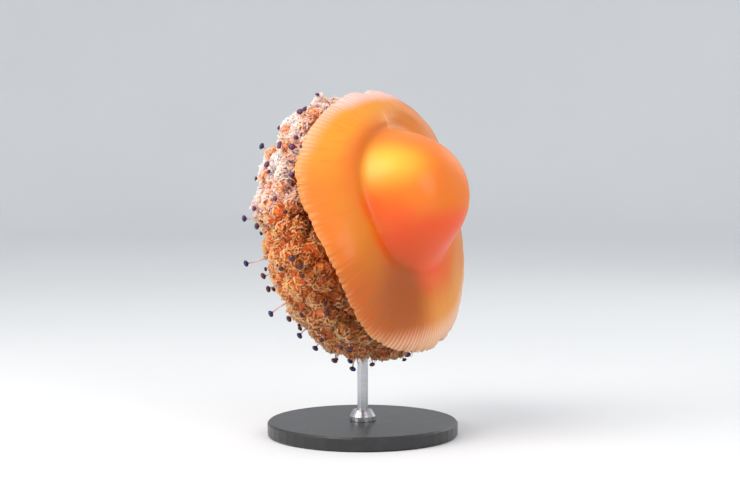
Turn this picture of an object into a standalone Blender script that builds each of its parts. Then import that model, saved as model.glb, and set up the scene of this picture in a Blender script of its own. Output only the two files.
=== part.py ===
"""A fried egg jellyfish (Cotylorhiza tuberculata) as a still, life-size model on a display stand.

The animal swims towards +X with its crown pitched up a little.  Its bell is worked out in shares of
the rim's radius about its own axis, then swayed out of round into the swimming pose.  The eight
frilled mouth arms hang behind it as one lobed mass, parted by thin cuts, and the long stalked discs
grow out of them.  The origin is the middle of the stand's underside; metres, +Z up.
"""
import math

import bmesh
import bpy
from mathutils import Matrix, Vector

# The whole animal: the rim's size, where its middle stands and how far the crown is pitched up.
RIM_RADIUS = 0.110
RIM_MIDDLE = (0.030, 0.0, 0.180)
PITCH = math.radians(16.0)
GAP = 0.0003

# The bell's section, in shares of the rim's radius.
DISC_RISE = 0.245
DISC_POWER = 5
DOME_RISE = 0.40
DOME_RADIUS = 0.54
DOME_POWER = 3
DOME_SOFTNESS = 1.4
GUTTER_DEPTH = 0.02
GUTTER_RADIUS = 0.56
GUTTER_WIDTH = 0.06
HOLLOW_RISE = 0.155
HOLLOW_POWER = 6
RIM_THICKNESS = 0.012

# The bell's sway: how the dome leans off the middle, and where the rim lifts (+) or dips (-).
DOME_LEAN = (0.145, 0.02)
SWAY_START = 0.40
RIM_WAVES = (
    # bearing, width (degrees), lift (share of the rim's radius)
    (0.0, 25.0, 0.03),
    (62.0, 22.0, -0.10),
    (112.0, 30.0, 0.10),
    (142.0, 16.0, -0.03),
    (175.0, 30.0, 0.03),
    (262.0, 40.0, -0.065),
    (326.0, 30.0, 0.055),
)
SAG_DEPTH = 0.045
SAG_BEARING = 240.0
SAG_WIDTH = 50.0
SAG_RADIUS = 0.74
FOLD_DEPTH = 0.07
FOLD_BEARING = 1.0
FOLD_START = (0.45, 0.66)
FOLD_END = (0.70, 1.0)
FOLD_EDGE = (5.0, 12.0)
FOLD_SOFTENS = (0.60, 0.85)

# Cuts that part the bell, and the lappets round its margin.
DOME_EDGE = 0.54
DISC_EDGE = 0.90
OCTANTS = 8
LAPPETS_IN_OCTANT = 14
LAPPET_NOTCH = 0.018
LAPPET_ROOT = 0.955

# The mass of mouth arms: a flattened ball behind the rim, and the disc that carries it.
ARM_REACH = 0.1095
ARM_DEPTH = 0.071
ARM_TOP = 0.037
ARM_DROP = 0.0313
ARM_SHIFT = 0.003
ARM_LEAN = 0.08
ARM_FULLNESS = 0.92
ARM_TURN = 15.0
ARM_OVAL = 0.045
ARM_VALLEY = 0.07
ARM_FORK = 0.035
ARM_LOBE = 0.030
LOBE_PHASES = (2.45, 1.4)
ARM_SWELLS = (
    # bearing, slope, width (degrees), share pushed out
    (67.0, -37.0, 9.0, 0.065),
    (44.0, -24.0, 8.0, 0.040),
    (89.0, -44.0, 7.0, -0.040),
    (150.0, -40.0, 9.0, -0.065),
    (162.0, -9.0, 8.0, 0.025),
)
ARM_ROWS = 12
ARM_COLUMNS = 8
ARM_FOOT_SLOPE = 80.0
CORE_RADIUS = 0.0006
ARM_DISC_RADIUS = 0.046
ARM_DISC_WAIST = 0.036
ARM_DISC_SLOPE = 0.0016
ARM_DISC_FOOT = -0.012
ARM_SEAT_RADIUS = 0.049

# A long club: a thin stalk with a button-like disc on its end.
STALK_ROOT = 0.0012
STALK_NECK = 0.0007
CLUB_RADIUS = 0.0029
CLUB_HEIGHT = 0.0038
CLUB_SIDES = 6
CLUB_ROOTED = 0.006
LOWEST_ARM = 5

# Where each arm's clubs stand: degrees off the arm's middle, slope on the mass, reach out of it.
CLUBS = {
    1: ((14.0, 6.0, 0.007), (-14.0, -20.0, 0.010), (-4.0, -48.0, 0.013), (8.0, -58.0, 0.010)),
    2: ((-20.0, -22.0, 0.009), (13.0, -36.0, 0.012), (18.0, -34.0, 0.007), (-9.0, 14.0, 0.007),
        (-3.0, -8.0, 0.007)),
    3: ((-10.0, -40.0, 0.018), (-1.0, -38.0, 0.008), (18.0, -34.0, 0.018), (8.0, -43.0, 0.007),
        (-4.0, 6.0, 0.007)),
    4: ((-19.0, -34.0, 0.007), (-10.0, -30.0, 0.009), (-1.0, -26.0, 0.009), (8.0, -20.0, 0.007),
        (16.0, -14.0, 0.010), (0.0, 3.0, 0.007)),
    5: ((-10.0, -34.0, 0.014), (9.0, -12.0, 0.012), (12.0, -48.0, 0.018)),
    6: ((-14.0, -25.0, 0.012), (2.0, -40.0, 0.016), (12.0, -10.0, 0.010)),
    7: ((-12.0, -35.0, 0.014), (5.0, -15.0, 0.010), (13.0, -50.0, 0.017)),
    8: ((-10.0, -22.0, 0.011), (6.0, -42.0, 0.015), (13.0, 5.0, 0.008)),
}

# The display stand.
BASE_RADIUS = 0.080
BASE_HEIGHT = 0.012
BASE_BEVEL = 0.0015
ROD_RADIUS = 0.0045
ROD_TOP = 0.104
ROD_FOOT = 0.004
COLLAR_RADIUS = 0.011
COLLAR_HEIGHT = 0.009

# Colour, roughness and metallic value of each kind of piece.
FINISHES = {
    "dome": ((0.90, 0.47, 0.06), 0.30, 0.0),
    "disc": ((0.86, 0.34, 0.08), 0.32, 0.0),
    "margin": ((0.92, 0.62, 0.46), 0.35, 0.0),
    "arm_disc": ((0.78, 0.42, 0.22), 0.45, 0.0),
    "arm": ((0.62, 0.34, 0.22), 0.55, 0.0),
    "base": ((0.05, 0.05, 0.055), 0.45, 0.0),
    "steel": ((0.62, 0.62, 0.63), 0.30, 1.0),
}


# ---------------------------------------------------------------- plain helpers

def smooth_step(value, low, high):
    share = min(max((value - low) / (high - low), 0.0), 1.0)
    return share * share * (3.0 - 2.0 * share)


def bearing_gap(bearing, middle):
    """Degrees from a middle bearing, between -180 and 180."""
    return (bearing - middle + 180.0) % 360.0 - 180.0


def clear_scene():
    for thing in list(bpy.data.objects):
        bpy.data.objects.remove(thing, do_unlink=True)


def finish_material(name, finish):
    colour, roughness, metallic = FINISHES[finish]
    material = bpy.data.materials.new(name)
    material.use_nodes = True
    shader = material.node_tree.nodes["Principled BSDF"]
    shader.inputs["Base Color"].default_value = (*colour, 1.0)
    shader.inputs["Roughness"].default_value = roughness
    shader.inputs["Metallic"].default_value = metallic
    return material


def add_piece(name, bm, finish=None, parent=None, crease=math.radians(35.0)):
    """Turn a bmesh into a named object; without a finish it is a guide that isn't built."""
    bmesh.ops.recalc_face_normals(bm, faces=bm.faces)
    mesh = bpy.data.meshes.new(name)
    bm.to_mesh(mesh)
    bm.free()
    mesh.shade_smooth()
    mesh.set_sharp_from_angle(angle=crease)
    piece = bpy.data.objects.new(name, mesh)
    bpy.context.scene.collection.objects.link(piece)
    piece.parent = parent
    if finish:
        mesh.materials.append(finish_material(name, finish))
    else:
        piece.hide_render = True
        piece.display_type = "WIRE"
    return piece


def turned(section, steps, start=0.0, sweep=math.tau, closed=True):
    """Spin a section of (radius, height) points about Z; a part turn gets its two end faces."""
    bm = bmesh.new()
    verts = [bm.verts.new((radius, 0.0, height)) for radius, height in section]
    ends = zip(verts, verts[1:] + verts[:1] if closed else verts[1:])
    edges = [bm.edges.new(pair) for pair in ends]
    bmesh.ops.rotate(bm, verts=verts, cent=(0, 0, 0), matrix=Matrix.Rotation(start, 3, "Z"))
    whole = sweep >= math.tau
    bmesh.ops.spin(
        bm, geom=verts + edges, cent=(0, 0, 0), axis=(0, 0, 1), angle=sweep, steps=steps, use_merge=whole,
    )
    if whole:
        bmesh.ops.remove_doubles(bm, verts=bm.verts, dist=1e-6)
    else:
        open_edges = [edge for edge in bm.edges if len(edge.link_faces) == 1]
        bmesh.ops.holes_fill(bm, edges=open_edges, sides=0)
    return bm


def boolean(piece, operation, other):
    modifier = piece.modifiers.new(operation.title(), "BOOLEAN")
    modifier.operation = operation
    modifier.solver = "EXACT"
    modifier.object = other


# ---------------------------------------------------------------- the bell

def crown_height(rho):
    """Height of the bell's outer face over the rim plane, all in shares of the rim's radius."""
    disc = DISC_RISE * (1.0 - rho ** DISC_POWER)
    dome = DOME_RISE * max(0.0, 1.0 - (rho / DOME_RADIUS) ** DOME_POWER) ** DOME_SOFTNESS
    gutter = GUTTER_DEPTH * math.exp(-((rho - GUTTER_RADIUS) / GUTTER_WIDTH) ** 2)
    return disc + dome - gutter


def hollow_height(rho):
    """Height of the bell's under face, in the same shares."""
    return HOLLOW_RISE * (1.0 - rho ** HOLLOW_POWER) - RIM_THICKNESS


def rim_lift(bearing):
    return sum(lift * math.exp(-(bearing_gap(bearing, middle) / width) ** 2)
               for middle, width, lift in RIM_WAVES)


def rim_stretch(bearing):
    """The rim is a little out of round."""
    turn = math.radians(bearing)
    return 1.0 + 0.010 * math.cos(turn - math.radians(30)) - 0.015 * math.cos(2 * (turn - math.radians(60)))


def disc_drop(rho, bearing):
    """Where the disc is sunk: a sag low on the far side, and a fold behind a soft radial crest."""
    sag = SAG_DEPTH * math.exp(-(bearing_gap(bearing, SAG_BEARING) / SAG_WIDTH) ** 2)
    sag *= math.exp(-((rho - SAG_RADIUS) / 0.20) ** 2)
    past = bearing_gap(bearing, FOLD_BEARING)
    edge = FOLD_EDGE[0] + FOLD_EDGE[1] * smooth_step(rho, *FOLD_SOFTENS)
    fold = FOLD_DEPTH * math.exp(-(min(past, 0.0) / 50.0) ** 2) / (1.0 + math.exp(past / edge))
    return sag + fold * smooth_step(rho, *FOLD_START) * (1.0 - smooth_step(rho, *FOLD_END))


def sway(point):
    """Carry a point of the round bell, in shares of the rim's radius, to its place in the pose."""
    rho = math.hypot(point.x, point.y)
    turn = math.atan2(point.y, point.x)
    bearing = math.degrees(turn)
    share = smooth_step(rho, SWAY_START, 1.0)
    stretch = 1.0 - share + rim_stretch(bearing) * share
    lean = 1.0 - share
    return RIM_RADIUS * Vector((
        rho * stretch * math.cos(turn) + DOME_LEAN[0] * lean,
        rho * stretch * math.sin(turn) + DOME_LEAN[1] * lean,
        point.z + rim_lift(bearing) * share - disc_drop(rho, bearing),
    ))


def sway_all(bm):
    for vert in bm.verts:
        vert.co = sway(vert.co)


def scallop(point):
    """Draw the margin in between the lappets; the octants' ends fall between two of them."""
    rho = math.hypot(point.x, point.y)
    turn = math.atan2(point.y, point.x) + math.pi / OCTANTS
    between = 0.5 + 0.5 * math.cos(turn * OCTANTS * LAPPETS_IN_OCTANT)
    reach = smooth_step(rho, LAPPET_ROOT, 1.0)
    shrink = 1.0 - LAPPET_NOTCH * between * reach
    return Vector((point.x * shrink, point.y * shrink, point.z))


def section_along(height_of, stations):
    return [(rho, height_of(rho)) for rho in stations]


def bell_dome(body):
    edge = DOME_EDGE - GAP / RIM_RADIUS
    outer = section_along(crown_height, (0.0, 0.12, 0.22, 0.31, 0.39, 0.46, edge))
    under = section_along(hollow_height, (edge, 0.42, 0.24, 0.0))
    bm = turned(outer + under, 44, closed=False)
    sway_all(bm)
    return add_piece("bell_dome", bm, "dome", body)


def bell_disc(body):
    edge = DISC_EDGE - GAP / RIM_RADIUS
    outer = section_along(crown_height, (DOME_EDGE, 0.575, 0.63, 0.72, 0.82, edge))
    under = section_along(hollow_height, (edge, 0.80, 0.66, DOME_EDGE))
    bm = turned(outer + under, 56)
    sway_all(bm)
    return add_piece("bell_disc", bm, "disc", body)


def bell_margin(body):
    """Eight octants, each with a row of lappets."""
    outer = section_along(crown_height, (DISC_EDGE, LAPPET_ROOT, 1.0))
    under = section_along(hollow_height, (1.0, DISC_EDGE))
    part = math.tau / OCTANTS
    trim = 0.5 * GAP / (RIM_RADIUS * DISC_EDGE)
    for octant in range(OCTANTS):
        start = part * (octant - 0.5)
        bm = turned(outer + under, 2 * LAPPETS_IN_OCTANT, start=start, sweep=part)
        for vert in bm.verts:
            vert.co = scallop(vert.co)
        for vert in bm.verts:
            turn = math.atan2(vert.co.y, vert.co.x) - start - part / 2
            turn = (turn + math.pi) % math.tau - math.pi
            if abs(turn) > part / 2 - 1e-4:
                vert.co.rotate(Matrix.Rotation(-math.copysign(trim, turn), 3, "Z"))
        sway_all(bm)
        add_piece(f"bell_margin_{octant + 1}", bm, "margin", body, crease=math.radians(50))


# ---------------------------------------------------------------- the mouth arms

def arm_bearing(number):
    return ARM_TURN + 45.0 * (number - 1)


def arm_depth_at(slope):
    return ARM_TOP if slope > 0 else ARM_DEPTH


def arm_section_point(slope):
    """A point of the round arm mass's section; the slope runs from 90 (top) to -90 (foot)."""
    turn = math.radians(slope)
    radius = ARM_REACH * math.cos(turn) ** ARM_FULLNESS
    return radius, arm_depth_at(slope) * math.sin(turn) - ARM_DROP


def arm_slope_of(radius, height):
    rise = (height + ARM_DROP) / arm_depth_at(height + ARM_DROP)
    return math.degrees(math.atan2(rise, (radius / ARM_REACH) ** (1.0 / ARM_FULLNESS)))


def arm_swell(bearing, slope):
    """Share by which the lobes push the mass out: valleys between arms, forks and smaller lobes."""
    off_arm = bearing_gap(bearing, arm_bearing(1 + round((bearing - ARM_TURN) / 45.0)))
    valley = ARM_VALLEY * (abs(off_arm) / 22.5) ** 3
    fork = ARM_FORK * math.exp(-(off_arm / 4.5) ** 2) * smooth_step(-slope, -35.0, 20.0)
    turn = math.radians(bearing)
    tilt = math.radians(slope)
    first, second = LOBE_PHASES
    lobes = ARM_LOBE * math.sin(5 * turn + 7 * tilt + first) * math.cos(11 * turn - 5 * tilt + second)
    swells = sum(share * math.exp(-(bearing_gap(bearing, middle) ** 2 + (slope - level) ** 2) / width ** 2)
                 for middle, level, width, share in ARM_SWELLS)
    oval = ARM_OVAL * math.cos(2 * turn)
    fade = 1.0 - smooth_step(slope, 45.0, 60.0)
    return (lobes + swells + oval - valley - fork) * fade


def hang(point):
    """Carry a point of the upright arm mass to its place: it leans a little as it hangs."""
    return Vector((point.x + ARM_SHIFT + ARM_LEAN * (point.z + ARM_DROP), point.y, point.z))


def arm_surface(bearing, slope):
    """A point of the lobed mass, in the body's frame."""
    radius, height = arm_section_point(slope)
    scale = 1.0 + arm_swell(bearing, slope)
    turn = math.radians(bearing)
    return hang(Vector((
        radius * scale * math.cos(turn),
        radius * scale * math.sin(turn),
        (height + ARM_DROP) * scale - ARM_DROP,
    )))


def arm_outward(bearing, slope):
    """The way out of the unlobed mass at a place on it."""
    radius, height = arm_section_point(slope)
    out = radius / ARM_REACH ** 2
    rise = (height + ARM_DROP) / arm_depth_at(slope) ** 2
    turn = math.radians(bearing)
    return Vector((out * math.cos(turn), out * math.sin(turn), rise)).normalized()


def arm_wedge(bearing):
    """One arm's share of the mass: a wedge with its inner edge on the mass's axis."""
    top = math.degrees(math.acos((ARM_SEAT_RADIUS / ARM_REACH) ** (1.0 / ARM_FULLNESS)))
    slopes = [top - (top + ARM_FOOT_SLOPE) * row / ARM_ROWS for row in range(ARM_ROWS + 1)]
    seat = ARM_DISC_FOOT - GAP
    section = [arm_section_point(slope) for slope in slopes]
    section += [(CORE_RADIUS, section[-1][1]), (CORE_RADIUS, seat), (ARM_SEAT_RADIUS, seat)]
    part = math.tau / OCTANTS
    bm = turned(section, ARM_COLUMNS, start=math.radians(bearing) - part / 2, sweep=part)
    for vert in bm.verts:
        radius = math.hypot(vert.co.x, vert.co.y)
        on_seat = vert.co.z > seat - GAP and radius < ARM_SEAT_RADIUS + GAP
        if on_seat or radius < CORE_RADIUS + GAP:
            continue
        place = math.degrees(math.atan2(vert.co.y, vert.co.x))
        scale = 1.0 + arm_swell(place, arm_slope_of(radius, vert.co.z))
        vert.co.x *= scale
        vert.co.y *= scale
        vert.co.z = (vert.co.z + ARM_DROP) * scale - ARM_DROP
    away = 0.5 * GAP / math.sin(part / 2)
    turn = math.radians(bearing)
    bmesh.ops.translate(bm, verts=bm.verts, vec=(math.cos(turn) * away, math.sin(turn) * away, 0.0))
    for vert in bm.verts:
        vert.co = hang(vert.co)
    return bm


def club(bm, bearing, slope, reach):
    """Add one stalked disc: a thin cone out of the mass, with a button across its end."""
    outward = arm_outward(bearing, slope)
    root = arm_surface(bearing, slope) - outward * CLUB_ROOTED
    length = reach + CLUB_ROOTED - 0.5 * CLUB_HEIGHT
    section = (
        (0.0, 0.0), (STALK_ROOT, 0.0), (STALK_NECK, length),
        (CLUB_RADIUS, length + 0.25 * CLUB_HEIGHT), (CLUB_RADIUS * 0.85, length + 0.8 * CLUB_HEIGHT),
        (0.0, length + CLUB_HEIGHT),
    )
    single = turned(section, CLUB_SIDES, closed=False)
    place = Matrix.Translation(root) @ outward.to_track_quat("Z", "Y").to_matrix().to_4x4()
    single.transform(place)
    mesh = bpy.data.meshes.new("club")
    single.to_mesh(mesh)
    single.free()
    bm.from_mesh(mesh)
    bpy.data.meshes.remove(mesh)


def arm_clubs(number, body):
    """The guide that joins one arm's clubs to it."""
    bm = bmesh.new()
    for off_arm, slope, reach in CLUBS[number]:
        club(bm, arm_bearing(number) + off_arm, slope, reach)
    return add_piece(f"clubs_{number}", bm, parent=body)


def mouth_arms(body, socket):
    for number in sorted(CLUBS):
        arm = add_piece(f"mouth_arm_{number}", arm_wedge(arm_bearing(number)), "arm", body)
        boolean(arm, "UNION", arm_clubs(number, body))
        if number == LOWEST_ARM:
            boolean(arm, "DIFFERENCE", socket)


def arm_disc(body):
    """The four-pillared disc under the bell that carries the arms."""
    top = RIM_RADIUS * hollow_height(0.0) - GAP
    waist = 0.5 * (top + ARM_DISC_FOOT)
    section = (
        (0.0, top), (ARM_DISC_RADIUS * 0.65, top), (ARM_DISC_RADIUS * 0.88, top - ARM_DISC_SLOPE),
        (ARM_DISC_WAIST, waist),
        (ARM_DISC_RADIUS, ARM_DISC_FOOT + 0.004), (ARM_DISC_RADIUS * 0.97, ARM_DISC_FOOT),
        (0.0, ARM_DISC_FOOT),
    )
    bm = turned(section, 32, closed=False)
    for vert in bm.verts:
        turn = math.atan2(vert.co.y, vert.co.x)
        pit = 0.16 * (0.5 - 0.5 * math.cos(4 * turn)) * math.exp(-((vert.co.z - waist) / 0.008) ** 2)
        vert.co.x *= 1.0 - pit
        vert.co.y *= 1.0 - pit
        vert.co = hang(vert.co)
    add_piece("arm_disc", bm, "arm_disc", body)


# ---------------------------------------------------------------- the display stand

def stand_base():
    bore = ROD_RADIUS + GAP
    section = (
        (0.0, 0.0), (BASE_RADIUS - BASE_BEVEL, 0.0), (BASE_RADIUS, BASE_BEVEL),
        (BASE_RADIUS, BASE_HEIGHT - BASE_BEVEL), (BASE_RADIUS - BASE_BEVEL, BASE_HEIGHT),
        (bore, BASE_HEIGHT), (bore, ROD_FOOT - GAP), (0.0, ROD_FOOT - GAP),
    )
    add_piece("stand_base", turned(section, 48, closed=False), "base")


def stand_collar():
    low = BASE_HEIGHT + GAP
    high = low + COLLAR_HEIGHT
    bore = ROD_RADIUS + GAP
    section = (
        (bore, low), (COLLAR_RADIUS, low), (COLLAR_RADIUS, low + 0.4 * COLLAR_HEIGHT),
        (0.7 * COLLAR_RADIUS, high), (bore, high),
    )
    add_piece("stand_collar", turned(section, 24), "steel")


def stand_rod():
    section = (
        (0.0, ROD_FOOT), (ROD_RADIUS, ROD_FOOT), (ROD_RADIUS, ROD_TOP - 0.001),
        (ROD_RADIUS - 0.001, ROD_TOP), (0.0, ROD_TOP),
    )
    add_piece("stand_rod", turned(section, 20, closed=False), "steel")


def rod_socket():
    """The guide that bores the rod's blind hole up into the lowest arm."""
    top = ROD_TOP + GAP
    section = ((0.0, 0.0), (ROD_RADIUS + GAP, 0.0), (ROD_RADIUS + GAP, top), (0.0, top))
    return add_piece("rod_socket", turned(section, 20, closed=False))


def swimming_frame():
    """An empty at the middle of the rim: its +Z is the way the crown points, its +X is up."""
    frame = bpy.data.objects.new("swimming_frame", None)
    bpy.context.scene.collection.objects.link(frame)
    up = Vector((-math.sin(PITCH), 0.0, math.cos(PITCH)))
    near = Vector((0.0, -1.0, 0.0))
    crown = up.cross(near)
    turn = Matrix((up, near, crown)).transposed()
    frame.location = RIM_MIDDLE
    frame.rotation_euler = turn.to_euler()
    return frame


def build():
    clear_scene()
    body = swimming_frame()
    bell_dome(body)
    bell_disc(body)
    bell_margin(body)
    arm_disc(body)
    mouth_arms(body, rod_socket())
    stand_base()
    stand_collar()
    stand_rod()
    bpy.context.view_layer.update()


build()
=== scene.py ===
"""The looks of a fried egg jellyfish (Cotylorhiza tuberculata), a life-size model on a display stand.

One skin makes the bell, the neck under it and the mass of mouth arms.  Its points are spun as a
round section, then swayed into the swimming pose.  Frills, small fingers and stalked discs grow out
of the arm mass, the stand's own parts are painted, and a studio is set round the model.  The body's
own axes are up, near and crown: X the way its top side faces, Y its near side, Z its crown.
"""

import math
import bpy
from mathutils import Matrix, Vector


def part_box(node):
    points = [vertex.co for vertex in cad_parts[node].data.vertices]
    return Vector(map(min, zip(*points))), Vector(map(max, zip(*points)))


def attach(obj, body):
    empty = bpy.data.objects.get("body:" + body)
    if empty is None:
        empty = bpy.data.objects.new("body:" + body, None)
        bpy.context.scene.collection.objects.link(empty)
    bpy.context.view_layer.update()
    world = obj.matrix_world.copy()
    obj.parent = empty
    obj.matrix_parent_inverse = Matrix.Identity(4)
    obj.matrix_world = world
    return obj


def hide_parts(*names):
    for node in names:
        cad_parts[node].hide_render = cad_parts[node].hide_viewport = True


bl_info = {
    "name": "Fried Egg Jellyfish",
    "version": (1, 0, 0),
    "blender": (4, 5, 0),
    "location": "3D View > Sidebar > Jellyfish",
    "description": "Builds the skin, frills, stalked discs, stand finishes and studio of a jellyfish",
    "category": "Add Mesh",
}

import bmesh
import bpy
import numpy as np
from bpy.props import FloatProperty, FloatVectorProperty, IntProperty, PointerProperty
from mathutils import Matrix, Vector

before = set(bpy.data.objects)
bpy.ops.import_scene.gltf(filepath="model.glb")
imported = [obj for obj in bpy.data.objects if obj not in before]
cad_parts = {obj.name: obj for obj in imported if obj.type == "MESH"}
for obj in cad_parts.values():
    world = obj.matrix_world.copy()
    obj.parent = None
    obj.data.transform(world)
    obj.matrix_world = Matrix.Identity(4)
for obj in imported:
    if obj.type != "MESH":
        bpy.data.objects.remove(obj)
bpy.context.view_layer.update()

# The whole animal: the rim's size, where its middle stands and how far the crown is pitched up.
RIM_RADIUS = 0.110
RIM_MIDDLE = (0.030, 0.0, 0.180)
PITCH = math.radians(16.0)

# The bell's section, in shares of the rim's radius.
DISC_RISE = 0.245
DISC_POWER = 5
DOME_RISE = 0.40
DOME_RADIUS = 0.54
DOME_POWER = 3
DOME_SOFTNESS = 1.4
GUTTER_DEPTH = 0.02
GUTTER_RADIUS = 0.56
GUTTER_WIDTH = 0.06
HOLLOW_RISE = 0.155
HOLLOW_POWER = 6
RIM_THICKNESS = 0.012

# The bell's sway.
DOME_LEAN = (0.145, 0.02)
SWAY_START = 0.40
RIM_OVALS = (
    # waves round the rim, bearing of the first, share of the rim's radius
    (1, 30.0, 0.010),
    (2, 60.0, -0.015),
)
RIM_WAVES = (
    # bearing, width (degrees), lift (share of the rim's radius)
    (0.0, 25.0, 0.03),
    (62.0, 22.0, -0.10),
    (112.0, 30.0, 0.10),
    (142.0, 16.0, -0.03),
    (175.0, 30.0, 0.03),
    (262.0, 40.0, -0.065),
    (326.0, 30.0, 0.055),
)
SAG_DEPTH = 0.045
SAG_BEARING = 240.0
SAG_WIDTH = 50.0
SAG_RADIUS = 0.74
SAG_SPREAD = 0.20
FOLD_DEPTH = 0.07
FOLD_BEARING = 1.0
FOLD_WIDTH = 50.0
FOLD_START = (0.45, 0.66)
FOLD_END = (0.70, 1.0)
FOLD_EDGE = (5.0, 12.0)
FOLD_SOFTENS = (0.60, 0.85)
CREST_BEARING = FOLD_BEARING + 4.0
CREST_WIDTH = 1.3
CREST_RADIUS = 0.60
CREST_SPREAD = 0.09

# The rim's lappets, their grooves and the deeper cuts between some of them.
LAPPETS = 112
LAPPET_NOTCH = 0.018
LAPPET_ROOT = 0.955
GROOVE_SPAN = (0.84, 0.97)
RIM_CUTS = (
    # bearing, half width (degrees), depth (share of the rim's radius)
    (3.1, 1.8, 0.060),
    (193.0, 1.8, 0.046),
    (204.0, 1.3, 0.024),
    (128.0, 1.0, 0.012),
    (290.0, 1.4, 0.024),
)

# The mass of mouth arms, and the neck and pillars that carry it.
ARM_REACH = 0.1095
ARM_DEPTH = 0.071
ARM_TOP = 0.037
ARM_DROP = 0.0313
ARM_SHIFT = 0.003
ARM_LEAN = 0.08
ARM_FULLNESS = 0.92
ARM_TURN = 15.0
ARM_STEP = 45.0
ARM_OVAL = 0.045
ARM_VALLEY = 0.07
ARM_FORK = 0.035
ARM_FORK_WIDTH = 4.5
ARM_LOBE = 0.030
LOBE_PHASES = (2.45, 1.4)
ARM_SWELLS = (
    # bearing, slope, width (degrees), share pushed out
    (67.0, -37.0, 9.0, 0.065),
    (44.0, -24.0, 8.0, 0.040),
    (89.0, -44.0, 7.0, -0.040),
    (150.0, -40.0, 9.0, -0.065),
    (162.0, -9.0, 8.0, 0.025),
)
ARM_TOP_SLOPE = 62.0
LOBES = 120
LOBE_BREADTH = 0.0110
KNOBS = 600
KNOB_BREADTH = 0.0050
LOBED_BELOW = (40.0, 58.0)
NECK = (
    # radius, height and share of the way from the bell's sway to the arms' hang
    (0.0450, 0.0155, 0.5),
    (0.0405, 0.0153, 1.0),
    (0.0380, 0.0125, 1.0),
    (0.0362, 0.0070, 1.0),
    (0.0360, 0.0010, 1.0),
    (0.0385, -0.0035, 1.0),
    (0.0440, -0.0050, 1.0),
)
PILLARS = 4
PILLAR_GAP = 0.14
PILLAR_MIDDLE = 0.0017
PILLAR_SPREAD = 0.006

# The frills: how many shapes they have, the slope where they end, how wide they fan out, how deep
# they root in the skin, how they lean away from a knob's middle, and where beside the rim they are
# longer (slope, width in degrees, share).
FRILL_KINDS = 12
FRILL_TOP_SLOPE = 50.0
FRILL_SPREAD = math.radians(78.0)
FRILL_ROOT = 0.0004
KNOB_RADIUS = 0.0038
MOST_LEAN = 1.3
RIM_FRILLS = (27.0, 16.0, 0.45)

# The fingers: how many shapes they have, how far under the frills' tips they start, their section,
# the slopes they grow on (middle, spread, least, most), and the height over which they are thinned
# to a share.  They start over the skin, so those that meet no frill stand clear of it.
FINGER_KINDS = 6
FINGER_ROOT = 0.0015
FINGER_LENGTH = 0.0072
FINGER_SECTION = (
    # radius, height
    (0.0, 0.0),
    (0.00055, 0.0),
    (0.00050, 0.0030),
    (0.00042, 0.0060),
    (0.0, FINGER_LENGTH),
)
FINGER_SLOPES = (4.0, 16.0, -34.0, 40.0)
THINNED_ABOVE = 0.015
THINNED_TO = 0.2

# The stalked discs: how deep they root under the uncut skin, how far their stalks bend, the reach
# past which a stalk is a long one, and the height over which the short ones are violet.  The
# scattered ones have a share of the full width, a shorter stalk, and a slope where they end.  Over
# a crevice, which is cut deeper than they root, they stand clear of the skin.
DISC_ROOT = 0.001
STALK_BEND = 0.0009
LONG_STALK = 0.0085
VIOLET_ABOVE = 0.030
SMALL_DISCS = (0.60, 0.85)
SMALL_STALKS = (0.0002, 0.0012)
SMALL_TOP_SLOPE = 42.0

# How far from the rod's axis the frills and the discs keep, up to so far above the rod's end.
FRILL_CLEAR = 0.0075
DISC_CLEAR = 0.011
ROD_HEADROOM = 0.02

# The discs placed one by one on each arm: degrees off its middle, slope on the mass, reach out of it.
CLUBS = {
    1: ((14.0, 6.0, 0.007), (-14.0, -20.0, 0.010), (-4.0, -48.0, 0.013), (8.0, -58.0, 0.010)),
    2: ((-20.0, -22.0, 0.009), (13.0, -36.0, 0.012), (18.0, -34.0, 0.007), (-9.0, 14.0, 0.007),
        (-3.0, -8.0, 0.007)),
    3: ((-10.0, -40.0, 0.018), (-1.0, -38.0, 0.008), (18.0, -34.0, 0.018), (8.0, -43.0, 0.007),
        (-4.0, 6.0, 0.007)),
    4: ((-19.0, -34.0, 0.007), (-10.0, -30.0, 0.009), (-1.0, -26.0, 0.009), (8.0, -20.0, 0.007),
        (16.0, -14.0, 0.010), (0.0, 3.0, 0.007)),
    5: ((-10.0, -34.0, 0.014), (9.0, -12.0, 0.012), (12.0, -48.0, 0.018)),
    6: ((-14.0, -25.0, 0.012), (2.0, -40.0, 0.016), (12.0, -10.0, 0.010)),
    7: ((-12.0, -35.0, 0.014), (5.0, -15.0, 0.010), (13.0, -50.0, 0.017)),
    8: ((-10.0, -22.0, 0.011), (6.0, -42.0, 0.015), (13.0, 5.0, 0.008)),
}

# The skin's mesh: columns round it, and rows on the crown, the rim's round edge, the hollow and arms.
# The frills are shared out among pieces of no more than so many triangles.
COLUMNS = 6 * LAPPETS
RIM_ROWS = 5
ARM_ROWS = 78
CROWN_STATIONS = ((0.0, 0.44, 15), (0.44, 0.70, 15), (0.70, 0.90, 9), (0.90, 1.0, 8))
HOLLOW_STATIONS = (0.975, 0.95, 0.92, 0.88, 0.83, 0.77, 0.70, 0.62, 0.54, 0.47)
MOST_TRIANGLES = 190000

# Where the skin's parts lie on its map: middle and radius of each round chart.  The small pieces
# have the arms' chart to themselves, so there it is larger, and each has a patch so wide.
CHARTS = {
    "crown": ((0.352, 0.352), 0.345),
    "hollow": ((0.845, 0.300), 0.150),
    "arms": ((0.770, 0.770), 0.224),
    "small pieces": ((0.5, 0.5), 0.49),
}
PATCH = 0.003
GOLDEN_TURN = math.pi * (3.0 - math.sqrt(5.0))

STAND_NODES = ("stand_base", "stand_collar", "stand_rod")
FLESH_NODES = tuple(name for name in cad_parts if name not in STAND_NODES)

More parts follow.
